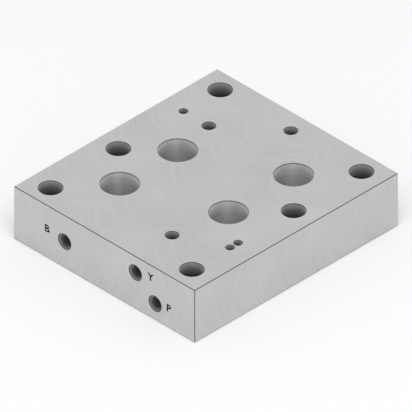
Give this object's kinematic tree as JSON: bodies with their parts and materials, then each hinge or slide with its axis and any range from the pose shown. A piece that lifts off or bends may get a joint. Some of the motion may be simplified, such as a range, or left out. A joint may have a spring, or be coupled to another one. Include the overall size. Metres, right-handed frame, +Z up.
{
  "type": "hydraulic tapping plate",
  "caption": "Rectangular aluminium plate bolted between a hydraulic valve and its manifold, with gauge ports tapped from its ends into the oil ports.",
  "frame": {"origin": "middle of the underside, which seals against the manifold", "axes": "+X along the plate's length, towards the end face tapped for ports P, Y and B; +Y across it, towards the side with the two neighbouring locating pin holes; +Z up, from the manifold to the valve"},
  "size_m": [0.2286, 0.2032, 0.0508],
  "materials": {
    "plate": "milled"
  },
  "bodies": {
    "root": {"plate": "plate"}
  },
  "joints": []
}
